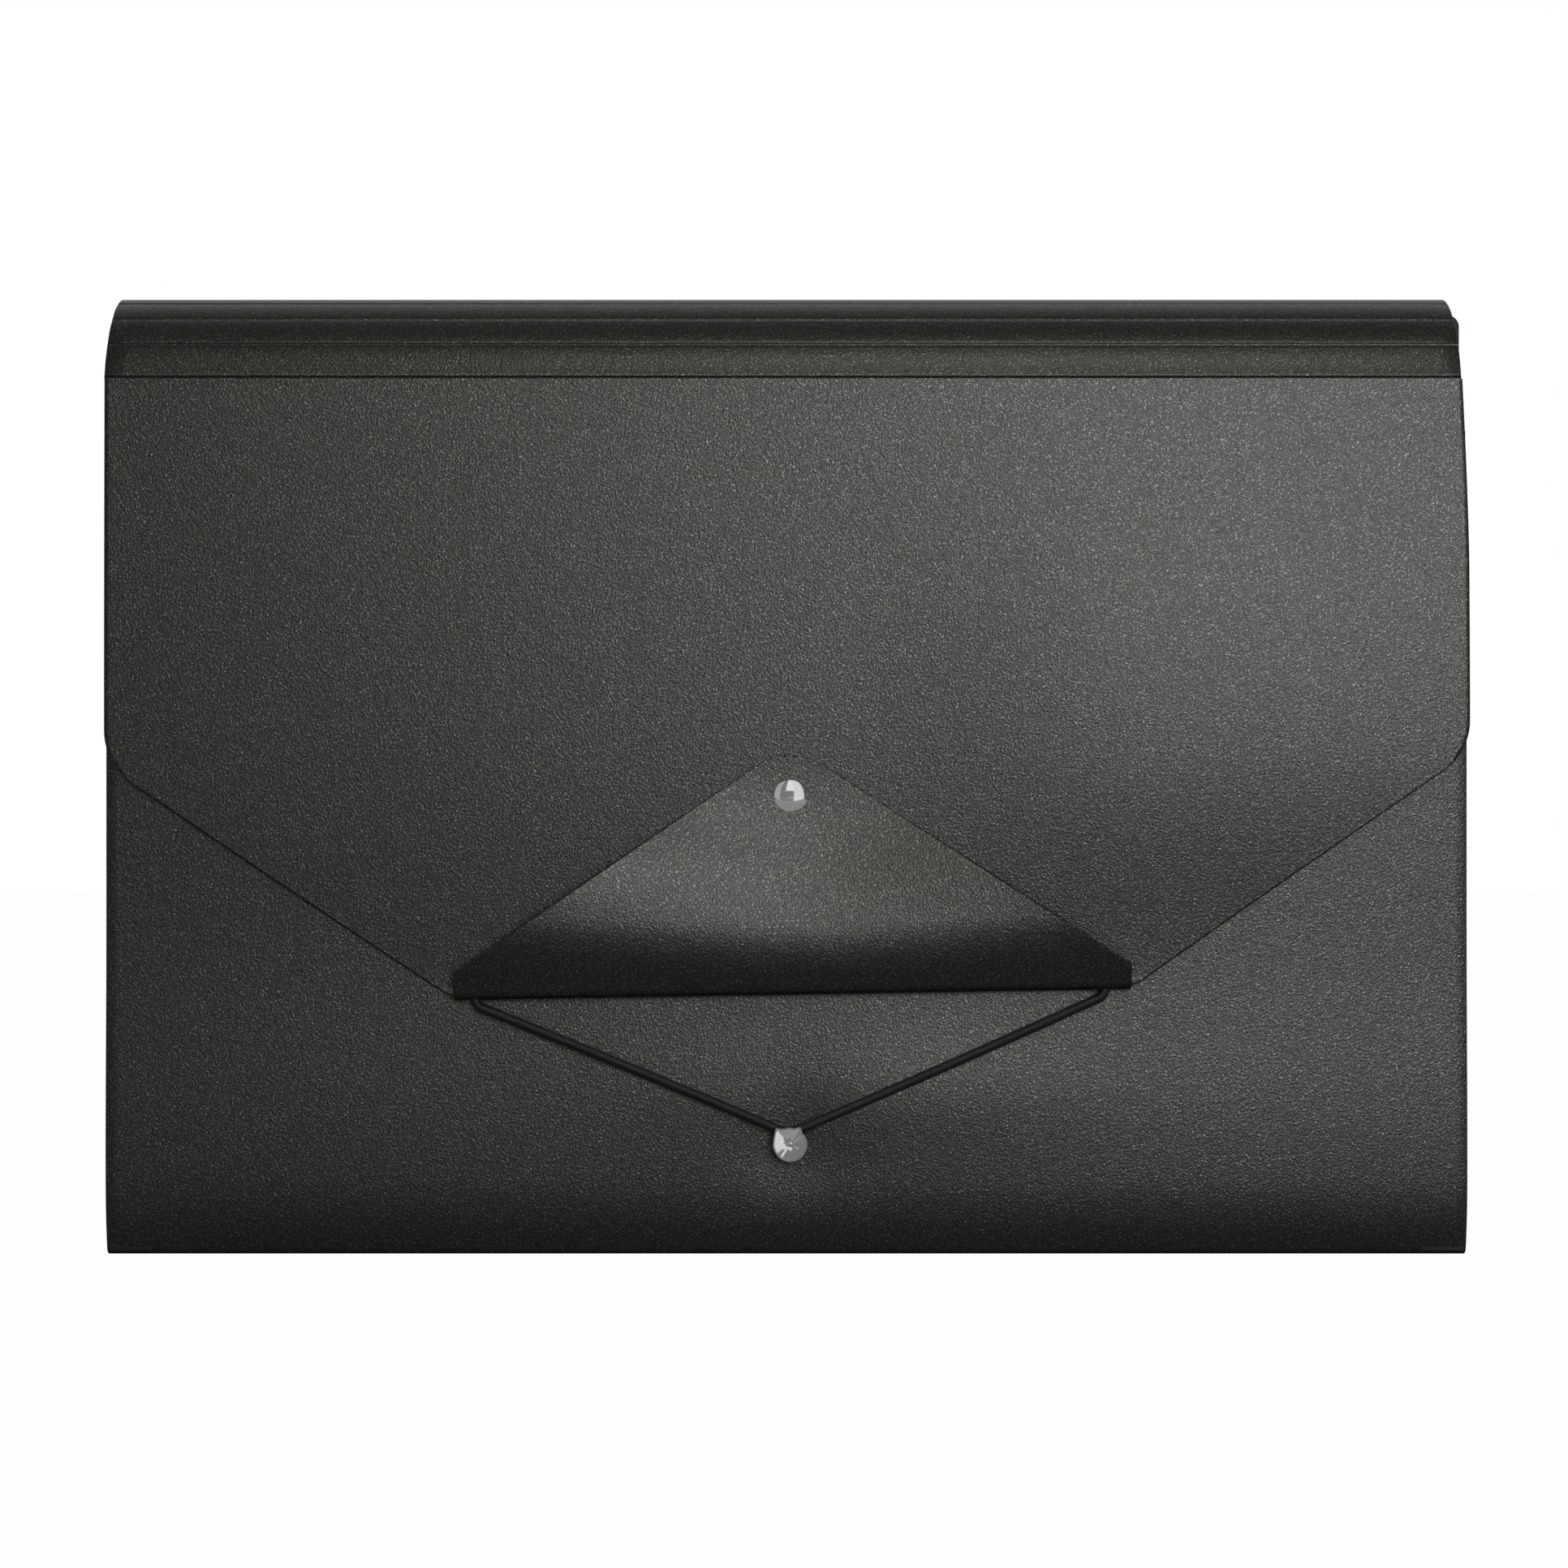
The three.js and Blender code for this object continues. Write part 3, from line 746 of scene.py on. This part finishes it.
def make_crease(name, before, corner, after, half, shift=0.0, ridge=0.0):
    """Thin living hinge that bends between two panels, with a fine ridge along its middle."""
    run = (after - before).normalized()
    across = Vector((-run.y, run.x))
    rows = []
    for k in range(17):
        share = k / 16
        low, high = before.lerp(corner, share), corner.lerp(after, share)
        point = low.lerp(high, share) + across * ridge * max(0.0, 1 - abs(share - 0.5) / RIDGE_SHARE)
        rows.append((point.x, point.y, shift - half, shift + half))
    hinge = thicken(lofted(name, rows, 40), CREASE_SHEET, edge=0)
    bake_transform(hinge)
    return dress(hinge, CREASE, None, "cover")


def make_top_creases():
    """Creases of the top spine, from the flap to the back cover."""
    reach = CREASE_RELIEF + 0.25
    points = crease_points()
    points = [points[0] + Vector((0, -10))] + points + [points[-1] + Vector((0, -10))]
    for i in range(6):
        corner = points[i + 1]
        before = corner + (points[i] - corner).normalized() * reach
        after = corner + (points[i + 2] - corner).normalized() * reach
        ridge = CREASE_RIDGE if i < 3 else 0.0
        make_crease(f"crease_sheet_{i}", before, corner, after, SPINE_HALF_WIDTH, SPINE_SHIFT, ridge)


def make_bottom_creases():
    """The crease that the front cover turns about, and the back cover's rounded foot."""
    low = Vector((FRONT_MIDDLE - front_bulge(0), 0.5))
    rim = Vector((FRONT_MIDDLE - front_bulge(1.3), 1.3))
    inner = Vector((low.x + 1.1, SHEET / 2))
    make_crease("crease_sheet_front", rim, low, inner, HALF_WIDTH)
    rows = []
    for inwards, up in ((0.7, 0), (0.3, 0.04), (0.04, 0.3), (0, 0.7)):
        rows.append((BACK_MIDDLE - inwards, SHEET / 2 + up, -HALF_WIDTH, HALF_WIDTH))
    rear = thicken(lofted("crease_sheet_rear", rows, 40), CREASE_SHEET, edge=0)
    dress(rear, CREASE, "back", "cover")


# Pleated insert

def pleat_slope(room, depth):
    """Slope of a pleat's two runs, in degrees, that brings it over the given room."""
    folds = 2 * (OUTER_FOLD + INNER_FOLD)
    slope = math.asin(room / math.hypot(2 * depth, folds)) - math.atan2(folds, 2 * depth)
    return math.degrees(slope)


def pleat_path(depth, flange=10.0):
    """The folded film seen from its end: a flange, a pleat round each pocket, and a flange."""
    end_room = PITCH - DIVIDER_SHEET / 2 + FILM / 2 - OUTER_FOLD
    walk = Walk(-flange, -(INSERT_DEPTH + FILM) / 2, 0)
    walk.ahead(flange)
    slope = 0
    for pocket in range(POCKETS):
        following = pleat_slope(end_room if pocket in (0, POCKETS - 1) else PITCH, depth)
        walk.bend(OUTER_FOLD, 180 - slope - following, 15)
        walk.ahead(depth, 3.0)
        walk.bend(INNER_FOLD, 2 * following - 180, 20)
        walk.ahead(depth, 3.0)
        slope = following
    walk.bend(OUTER_FOLD, 180 - slope, 15)
    walk.ahead(flange)
    return walk.points


def pleated(name, depth, place, low, high, steps, node):
    """Film folded like a bellows: place turns (outwards, from front to back, along) into a point."""
    path = pleat_path(depth)
    points = []
    for i in range(steps + 1):
        level = low + (high - low) * i / steps
        points += [place(p.x, p.y, level) for p in path]
    film = new_mesh(name, points, grid_faces(steps + 1, len(path)))
    made = thicken(film, FILM, edge=0)
    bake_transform(made)
    return dress(made, FILM_FINISH, None, "film", node)


def with_front(back, up):
    """Depth of a side pleat's point: its front edge follows the front cover's bulge."""
    share = 0.5 - back / INSERT_DEPTH
    return INSERT_FRONT + INSERT_DEPTH / 2 + back - share * max(0.0, front_bulge(up))


def on_right(out, back, up):
    """Place of a right-hand pleat's point."""
    return (DIVIDER_HALF + out, with_front(back, up), up)


def on_left(out, back, up):
    """Place of a left-hand pleat's point."""
    return (-DIVIDER_HALF - out, with_front(back, up), up)


def underneath(out, back, along):
    """Place of a bottom pleat's point."""
    return (along, INSERT_FRONT + INSERT_DEPTH / 2 + back, DIVIDER_BOTTOM - out)


def make_gussets():
    """The two side gussets, and the bottom one that ends just inside them."""
    pleated("side_pleats_right", SIDE_PLEAT, on_right, FRONT_FOOT, FRONT_TOP, 24, "gusset_right")
    pleated("side_pleats_left", SIDE_PLEAT, on_left, FRONT_FOOT, FRONT_TOP, 24, "gusset_left")
    inner = min(p.x for p in pleat_path(SIDE_PLEAT))
    room = 0.3
    half = DIVIDER_HALF + inner - FILM / 2 - room
    pleated("bottom_pleats", BOTTOM_PLEAT, underneath, -half, half, 30, "gusset_bottom")


def make_dividers():
    """Six dividers, each with its tab where its label is."""
    for k in range(1, 7):
        low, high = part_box(f"divider_{k}")
        label_low, label_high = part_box(f"tab_label_{k}")
        top = high.z / MM
        centre = (label_low.x + label_high.x) / 2 / MM
        left, right = centre - TAB_HALF, centre + TAB_HALF
        body_top = top - TAB_HEIGHT
        outline = rounded(divider_corners(left, right, body_top, top))
        y = (low.y + high.y) / 2 / MM
        sheet = thicken(flat_panel(f"divider_sheet_{k}", outline, y), DIVIDER_SHEET, 0.1)
        dress(sheet, DIVIDER, f"divider_{k}", "divider", f"divider_{k}")


def divider_corners(left, right, body_top, top):
    """Corners of a divider sheet with its tab, which may stand past the sheet's side."""
    corners = [(-DIVIDER_HALF, DIVIDER_BOTTOM, 0), (DIVIDER_HALF, DIVIDER_BOTTOM, 0)]
    if right < DIVIDER_HALF:
        corners += [(DIVIDER_HALF, body_top, 6), (right, body_top, 2), (right, top, 3)]
    else:
        foot = body_top - TAB_HEIGHT
        corners += [(DIVIDER_HALF, foot, 2), (right, foot, 3), (right, top, 3)]
    corners += [(left, top, 3), (left, body_top, 2), (-DIVIDER_HALF, body_top, 6)]
    return corners


# Cord and hardware

def cord_points():
    """Middle of the cord: along the fold, down to the stud, once round its post and back."""
    turn = Vector((CORD_EXIT - CORD_BEND, CORD_HEIGHT - CORD_BEND))
    reach = CORD_BEND + WRAP_RADIUS
    apart = math.hypot(turn.x, turn.y - STUD_HEIGHT)
    slope = math.degrees(math.atan2(turn.y - STUD_HEIGHT, turn.x) - math.asin(reach / apart))
    leg = math.sqrt(apart ** 2 - reach ** 2)
    walk = Walk(CORD_START, CORD_HEIGHT, 0)
    walk.ahead(turn.x - CORD_START, 4.0)
    walk.bend(CORD_BEND, slope - 180, 8)
    leaving = len(walk.points)
    walk.ahead(leg, 3.0)
    wrap = len(walk.points) - 1
    walk.bend(WRAP_RADIUS, 360 - 2 * slope, 8)
    left_leg = len(walk.points)
    walk.ahead(leg, 3.0)
    arriving = len(walk.points) - 1
    walk.bend(CORD_BEND, slope - 180, 8)
    walk.ahead(turn.x - CORD_START, 4.0)
    along = lengths(walk.points)
    keys = [along[leaving - 1], along[wrap], along[left_leg - 1], along[arriving]]
    inside = CORD_DEPTH + flap_sway(FOLD_HEIGHT)
    depths = [inside, *WRAP_DEPTHS, inside]
    points = []
    for place, run in zip(walk.points, along):
        share = min(1.0, max(0.0, (place.y - STUD_HEIGHT) / (FOLD_HEIGHT - STUD_HEIGHT)))
        drop = flap_skew(place.x, FOLD_HEIGHT) * share
        points.append(Vector((place.x + METAL_SHIFT, between(run, keys, depths), place.y + drop)))
    return points


def tube(name, path, radius, sides):
    """Round closed tube along points in millimetres."""
    points = []
    side = Vector((0, 1, 0))
    for i, point in enumerate(path):
        before, after = path[max(i - 1, 0)], path[min(i + 1, len(path) - 1)]
        ahead = (after - before).normalized()
        side = (side - ahead * side.dot(ahead)).normalized()
        other = ahead.cross(side)
        for k in range(sides):
            angle = 2 * math.pi * k / sides
            points.append(point + radius * (math.cos(angle) * side + math.sin(angle) * other))
    faces = ring_faces(len(path), sides)
    last = (len(path) - 1) * sides
    faces.append(tuple(reversed(range(sides))))
    faces.append(tuple(range(last, last + sides)))
    return new_mesh(name, points, faces)


def braid_coordinates(made, runs, radius, sides):
    """Texture coordinates of a tube: the run along it, and the way round it, in millimetres."""
    layer = made.data.uv_layers.new(name="UVMap")
    for face in made.data.polygons:
        around = [v % sides for v in face.vertices]
        for loop, k in zip(face.loop_indices, around):
            wrapped = k + sides if k == 0 and max(around) > sides // 2 else k
            ring = made.data.loops[loop].vertex_index // sides
            layer.data[loop].uv = (runs[ring], wrapped * 2 * math.pi * radius / sides)
        face.use_smooth = True


def make_cord():
    """Elastic cord, which the flap's fold and the stud hold."""
    path = cord_points()
    cord = tube("elastic_braid_cord", path, CORD_RADIUS, CORD_SIDES)
    braid_coordinates(cord, lengths(path), CORD_RADIUS, CORD_SIDES)
    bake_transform(cord)
    return dress(cord, ELASTIC, None, "elastic", "elastic_cord")


def turned(name, profile, x, y, z, outwards=(0, -1, 0), segments=64):
    """Turned piece from (radius, height) points, its axis outwards from the given place."""
    points = []
    for radius, height in profile:
        for k in range(segments):
            angle = 2 * math.pi * k / segments
            points.append(Vector((radius * math.cos(angle), radius * math.sin(angle), height)))
    turn = Vector((0, 0, 1)).rotation_difference(Vector(outwards))
    base = Vector((x, y, z))
    points = [base + turn @ p for p in points]
    return settle(new_mesh(name, points, ring_faces(len(profile), segments)))


def head_outline():
    """Outline of the stud's head: a disc whose upper edge is snipped off between two small corners."""
    arc = [math.radians(166 + 6 * k) for k in range(39)]
    points = [Vector((HEAD_RADIUS * math.cos(a), HEAD_RADIUS * math.sin(a))) for a in arc]
    right_corner = [(3.05, 2.5), (2.95, 3.1), (2.8, 3.8), (2.45, 4.25), (1.9, 4.1)]
    snipped_edge = [(1.2, 3.9), (0.5, 3.95), (-0.3, 4.1), (-1.0, 3.85), (-1.9, 3.75)]
    left_corner = [(-2.7, 3.8), (-3.45, 3.95), (-3.7, 3.5), (-3.85, 2.6), (-4.0, 1.8)]
    return points + [Vector(place) for place in right_corner + snipped_edge + left_corner]


def make_stud():
    """Stud with a thin dished head that stands on its post clear of the cord."""
    outline = head_outline()
    post, front = 1.0, -16.75

    def circle(radius, height):
        """Round ring with a point for each of the outline's."""
        return [(*(p.normalized() * radius), height) for p in outline]

    def head(share, height, facet=0.0):
        """Ring like the outline, at a share of its size, tilted and with small facets."""
        ring = []
        for p in outline:
            angle = math.degrees(math.atan2(p.y, p.x)) % 360
            start = max(turn for turn in (-30, 93, 122, 168, 236, 330) if turn <= angle)
            level = height + facet * (angle - start - 40) / 40 - HEAD_TILT * p.y * share
            ring.append((p.x * share, p.y * share, level))
        return ring

    rings = [circle(0.001, -1.4), circle(post, -1.4), circle(post, 5.25), circle(1.15, 5.4)]
    rings += [head(0.7, 5.62), head(0.94, 5.95), head(0.99, 6.2), head(1.0, 6.5), head(0.99, 6.72)]
    rings += [head(0.965, 6.82), head(0.935, 6.8), head(0.91, 6.66), head(0.895, 6.5)]
    rings += [head(0.70, 6.34, 0.04), head(0.5, 6.18, 0.05), head(0.3, 6.01, 0.03), circle(0.75, 5.92)]
    rings += [circle(0.62, 5.94), circle(0.5, 6.06), circle(0.3, 6.16), circle(0.001, 6.2)]
    middle = STUD_HEIGHT + HEAD_LIFT
    points = []
    for ring in rings:
        points += [(METAL_SHIFT + x, front - height, middle + y) for x, y, height in ring]
    stud = settle(new_mesh("stud_dished_head", points, ring_faces(len(rings), len(outline))))
    return dress(stud, NICKEL, "front", "nickel", "closure_stud")


def make_rivet():
    """Domed cap over a thin rim, with its post through the folded tip."""
    cap, post, slope = 4.0, 1.3, 40
    ball = cap / math.sin(math.radians(slope))
    foot = 0.45
    profile = [(0.001, -2.5), (post, -2.5), (post, 0.05), (cap, 0.05)]
    profile += [(cap + 0.12, 0.12), (cap + 0.14, 0.25), (cap + 0.08, 0.38), (cap, foot)]
    for k in range(1, 15):
        angle = math.radians(slope * (1 - k / 14))
        height = foot + ball * (math.cos(angle) - math.cos(math.radians(slope)))
        profile.append((max(ball * math.sin(angle), 0.001), height))
    depth = TIP_FACE + flap_sway(RIVET_HEIGHT)
    rivet = turned("rivet_dome", profile, METAL_SHIFT, depth, RIVET_HEIGHT)
    return dress(rivet, NICKEL, "flap", "nickel", "tip_rivet")


def make_crimp():
    """Short metal sleeve round the cord's two ends, pinched at three places."""
    half, outside, inside = 4.0, 1.85, 1.5
    profile = [(inside, -half)]
    for k in range(25):
        along = -half + 2 * half * k / 24
        pinch = 0.12 * max(0.0, math.cos(math.pi * along / 1.6)) if abs(along) < 3.4 else 0
        profile.append((outside - pinch, along))
    profile += [(inside, half), (inside, -half)]
    crimp = turned("crimp_sleeve", profile, 0, CORD_DEPTH, CORD_HEIGHT, (1, 0, 0), 32)
    return dress(crimp, NICKEL, "flap", "nickel", "cord_crimp")


# Stage, light and camera

def ray_share(nodes, links, *kinds):
    """1 for rays of the named kinds, and 0 for the others."""
    path = nodes.new("ShaderNodeLightPath")
    total = path.outputs[kinds[0]]
    for kind in kinds[1:]:
        total = combine(nodes, links, "MAXIMUM", total, path.outputs[kind])
    return total


def floor_part(name, front, rear, *kinds):
    """Strip of floor that rays of the named kinds see almost white, and that keeps a soft shadow."""
    rows = [(front, 0, -FLOOR_REACH, FLOOR_REACH), (rear, 0, -FLOOR_REACH, FLOOR_REACH)]
    floor = lofted(name, rows, 4)
    made, nodes, links, shader = material(name, (FLOOR_SHADE, FLOOR_SHADE, FLOOR_SHADE), 0.9)
    white = nodes.new("ShaderNodeEmission")
    share = combine(nodes, links, "MULTIPLY", ray_share(nodes, links, *kinds), FLOOR_GLOW)
    mix = nodes.new("ShaderNodeMixShader")
    links.new(share, mix.inputs["Fac"])
    links.new(shader.outputs[0], mix.inputs[1])
    links.new(white.outputs[0], mix.inputs[2])
    links.new(mix.outputs[0], nodes["Material Output"].inputs["Surface"])
    floor.data.materials.append(made)


def make_stage():
    """White floor. Metal sees it white behind the object, and as a dim table in front of it."""
    floor_part("floor_rear", 0, FLOOR_REACH, "Is Camera Ray", "Is Transmission Ray", "Is Glossy Ray")
    floor_part("floor_front", -FLOOR_REACH, 0, "Is Camera Ray", "Is Transmission Ray")


def area_light(name, place, target, size, power, colour=WHITE):
    """Rectangular lamp that faces its target."""
    data = bpy.data.lights.new(name, "AREA")
    data.shape = "RECTANGLE"
    data.size, data.size_y = size
    data.energy = power
    data.color = colour
    lamp = bpy.data.objects.new(name, data)
    bpy.context.scene.collection.objects.link(lamp)
    lamp.location = place
    lamp.rotation_mode = "QUATERNION"
    lamp.rotation_quaternion = (Vector(target) - Vector(place)).to_track_quat("-Z", "Y")
    return lamp


def smooth_step(nodes, links, source, low, high, top):
    """Rises smoothly from 0 at low to top at high."""
    made = nodes.new("ShaderNodeMapRange")
    made.interpolation_type = "SMOOTHSTEP"
    made.inputs["From Min"].default_value = low
    made.inputs["From Max"].default_value = high
    made.inputs["To Max"].default_value = top
    links.new(source, made.inputs["Value"])
    return made.outputs[0]


def make_world():
    """White to the camera. Metal sees a pale wall behind it, and a dim studio all round."""
    world = bpy.data.worlds.new("studio")
    bpy.context.scene.world = world
    world.use_nodes = True
    nodes = world.node_tree.nodes
    links = world.node_tree.links
    place = nodes.new("ShaderNodeTexCoord")
    parts = nodes.new("ShaderNodeSeparateXYZ")
    links.new(place.outputs["Generated"], parts.inputs[0])
    behind = smooth_step(nodes, links, parts.outputs["Y"], 0.15, 0.75, WALL_GLOW)
    walls = combine(nodes, links, "MAXIMUM", behind, ROOM_GLOW)
    seen = ray_share(nodes, links, "Is Camera Ray", "Is Transmission Ray")
    background = nodes["Background"]
    background.inputs["Color"].default_value = (1, 1, 1, 1)
    links.new(combine(nodes, links, "MAXIMUM", walls, seen), background.inputs["Strength"])


def metal_card(name, place, target, size, glow, metal):
    """Glowing card that the camera doesn't see and that only the bright metal reflects."""
    card = area_light(name, place, target, size, glow * math.pi * size[0] * size[1])
    card.visible_camera = False
    card.light_linking.receiver_collection = metal


def upright_card(name, left, right, low, high, glow, metal):
    """Upright card in front of the file, from left to right and from low to high."""
    across, up = (left + right) / 2, (low + high) / 2
    metal_card(name, (across, -CARD_DISTANCE, up), (across, 0, up), (right - left, high - low), glow, metal)


def floor_card(width, depth, glow, metal):
    """Card on the floor in front of the file."""
    away = -0.05 - depth / 2
    metal_card("card_floor", (0, away, 0.004), (0, away, 1), (width, depth), glow, metal)


def make_metal_lights(lamps):
    """The room as the rivet and the stud reflect it: a window at the right and paler walls."""
    metal = bpy.data.collections.new("metal_only")
    others = bpy.data.collections.new("all_but_metal")
    for name in ("rivet_dome", "stud_dished_head"):
        metal.objects.link(bpy.data.objects[name])
        others.objects.link(bpy.data.objects[name])
    for item in others.collection_objects:
        item.light_linking.link_state = "EXCLUDE"
    for lamp in lamps:
        lamp.light_linking.receiver_collection = others
    upright_card("card_window", 0.077, 0.55, 0.005, 1.1, 0.72, metal)
    upright_card("card_above", -0.09, 0.077, 0.22, 1.1, 0.85, metal)
    upright_card("card_middle", -0.09, 0.077, 0.005, 0.22, 0.12, metal)
    upright_card("card_left", -0.27, -0.09, 0.005, 1.1, 0.12, metal)
    upright_card("card_far_left", -1.0, -0.27, 0.005, 1.1, 0.35, metal)
    floor_card(1.0, 0.22, 0.22, metal)


def arc_place(aside, up):
    """Place on the arc of lamps, by degrees to the right and degrees up."""
    aside, up = math.radians(aside), math.radians(up)
    level = LAMP_DISTANCE * math.cos(up)
    return (level * math.sin(aside), -level * math.cos(aside), LAMP_LEVEL + LAMP_DISTANCE * math.sin(up))


def make_lights():
    """Soft square lamps on an arc in front, as (name, degrees right, degrees up, watts, colour)."""
    make_world()
    lamps = []
    for name, aside, up, power, colour in (
        ("key_right", 14, 12, 4.8, COOL),
        ("key_middle", 4, 12, 0.45, WHITE),
        ("key_low", 10, 3, 1.45, WHITE),
        ("top_front", 10, 58, 3.0, WHITE),
        ("top_middle", -4, 24, 1.4, WHITE),
        ("side_right", 46, 24, 1.15, COOL),
    ):
        size = (LAMP_SIZE, LAMP_SIZE)
        lamps.append(area_light(name, arc_place(aside, up), LAMP_TARGET, size, power, colour))
    make_metal_lights(lamps)


def make_camera():
    """Level camera in front of the file at the photograph's distance."""
    data = bpy.data.cameras.new("camera")
    data.sensor_width = 36
    data.lens = 86.2
    camera = bpy.data.objects.new("camera", data)
    bpy.context.scene.collection.objects.link(camera)
    camera.location = (-0.0006, -0.92745, 0.1143)
    camera.rotation_euler = (math.pi / 2, 0, 0)
    bpy.context.scene.camera = camera


def finish_cad_nodes():
    """Materials for the plain CAD nodes that stay in view."""
    finishes = {"stud_washer": NICKEL, "rivet_washer": NICKEL}
    finishes.update({f"tab_label_{k}": PAPER for k in range(1, 7)})
    for name, finish in finishes.items():
        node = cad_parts[name]
        node.data.materials.clear()
        node.data.materials.append(finish)


make_camera()
make_flap()
make_front_cover()
make_back_cover()
make_bottom_spine()
make_strips()
make_top_creases()
make_bottom_creases()
make_gussets()
make_dividers()
make_cord()
make_stud()
make_rivet()
make_crimp()
finish_cad_nodes()
make_stage()
make_lights()
bpy.context.scene.view_settings.view_transform = "Standard"
